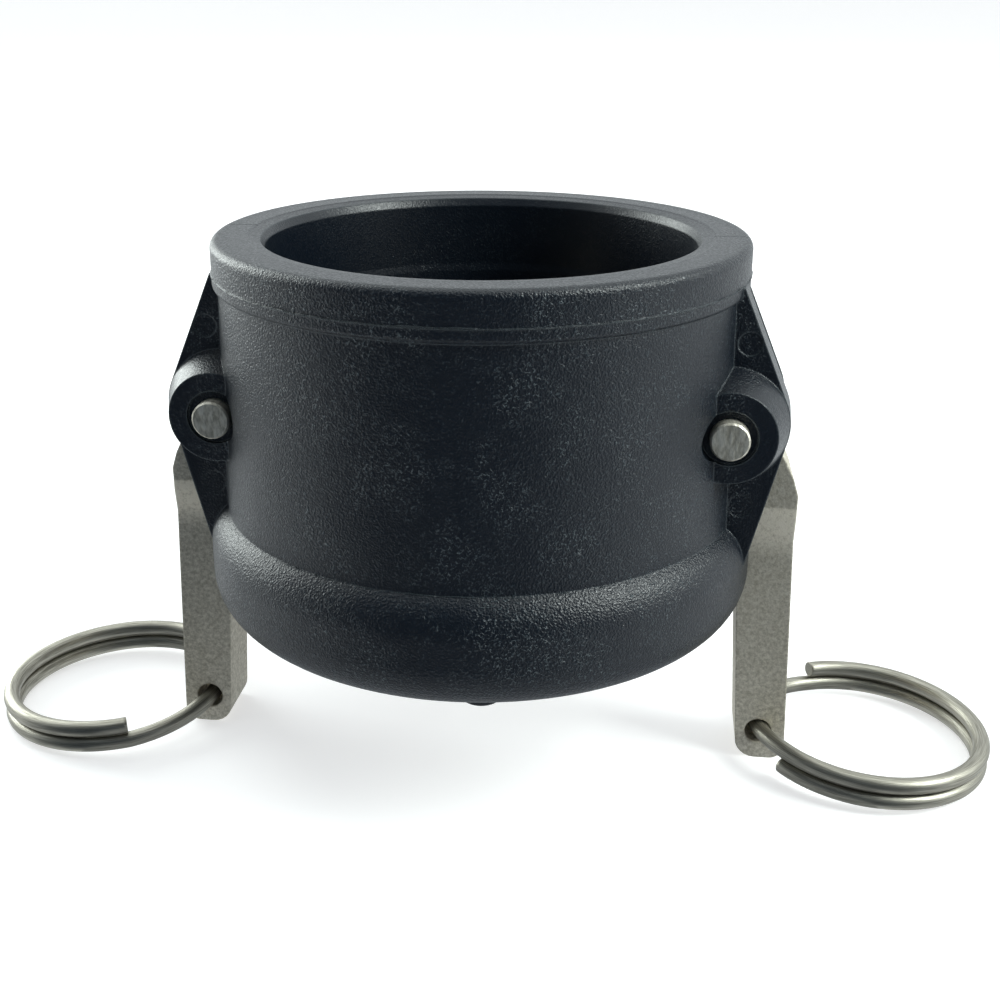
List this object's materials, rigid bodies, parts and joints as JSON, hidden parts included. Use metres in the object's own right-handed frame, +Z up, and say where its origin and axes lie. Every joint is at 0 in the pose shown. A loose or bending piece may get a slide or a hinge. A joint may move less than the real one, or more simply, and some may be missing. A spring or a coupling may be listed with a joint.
{
  "type": "camlock cap",
  "caption": "Cup-shaped closing cap for a cam and groove hose coupling, with hinged cam levers and finger rings.",
  "frame": {"origin": "on the bore's axis, on the table under the tips of the closed levers", "axes": "+Z up along the bore's axis, out of the mouth; +X through both lever pins, towards the right lever; +Y to the back"},
  "size_m": [0.166, 0.085, 0.0842],
  "materials": {
    "body_nylon": "satin, glass-filled",
    "gasket_rubber": "matte",
    "pin_steel": "sheared ends, satin",
    "lever_steel": "cast and blasted",
    "ring_steel": "drawn wire"
  },
  "bodies": {
    "body": {"cap_body": "body_nylon", "gasket": "gasket_rubber", "pin_left": "pin_steel", "pin_right": "pin_steel"},
    "lever_left": {"lever_left": "lever_steel"},
    "lever_right": {"lever_right": "lever_steel"},
    "ring_left": {"ring_left": "ring_steel"},
    "ring_right": {"ring_right": "ring_steel"}
  },
  "joints": [
    {"name": "lever_left_hinge", "type": "hinge", "parent": "body", "child": "lever_left", "pos_m": [-0.0373, 0, 0.059], "axis": [0, 1, 0], "range_deg": [0, 105]},
    {"name": "lever_right_hinge", "type": "hinge", "parent": "body", "child": "lever_right", "pos_m": [0.0373, 0, 0.059], "axis": [0, -1, 0], "range_deg": [0, 105]},
    {"name": "ring_left_swing", "type": "hinge", "parent": "lever_left", "child": "ring_left", "pos_m": [-0.0458, 0, 0.00485], "axis": [0, 1, 0], "range_deg": [-80, 70]},
    {"name": "ring_right_swing", "type": "hinge", "parent": "lever_right", "child": "ring_right", "pos_m": [0.0458, 0, 0.00485], "axis": [0, -1, 0], "range_deg": [-80, 70]}
  ]
}
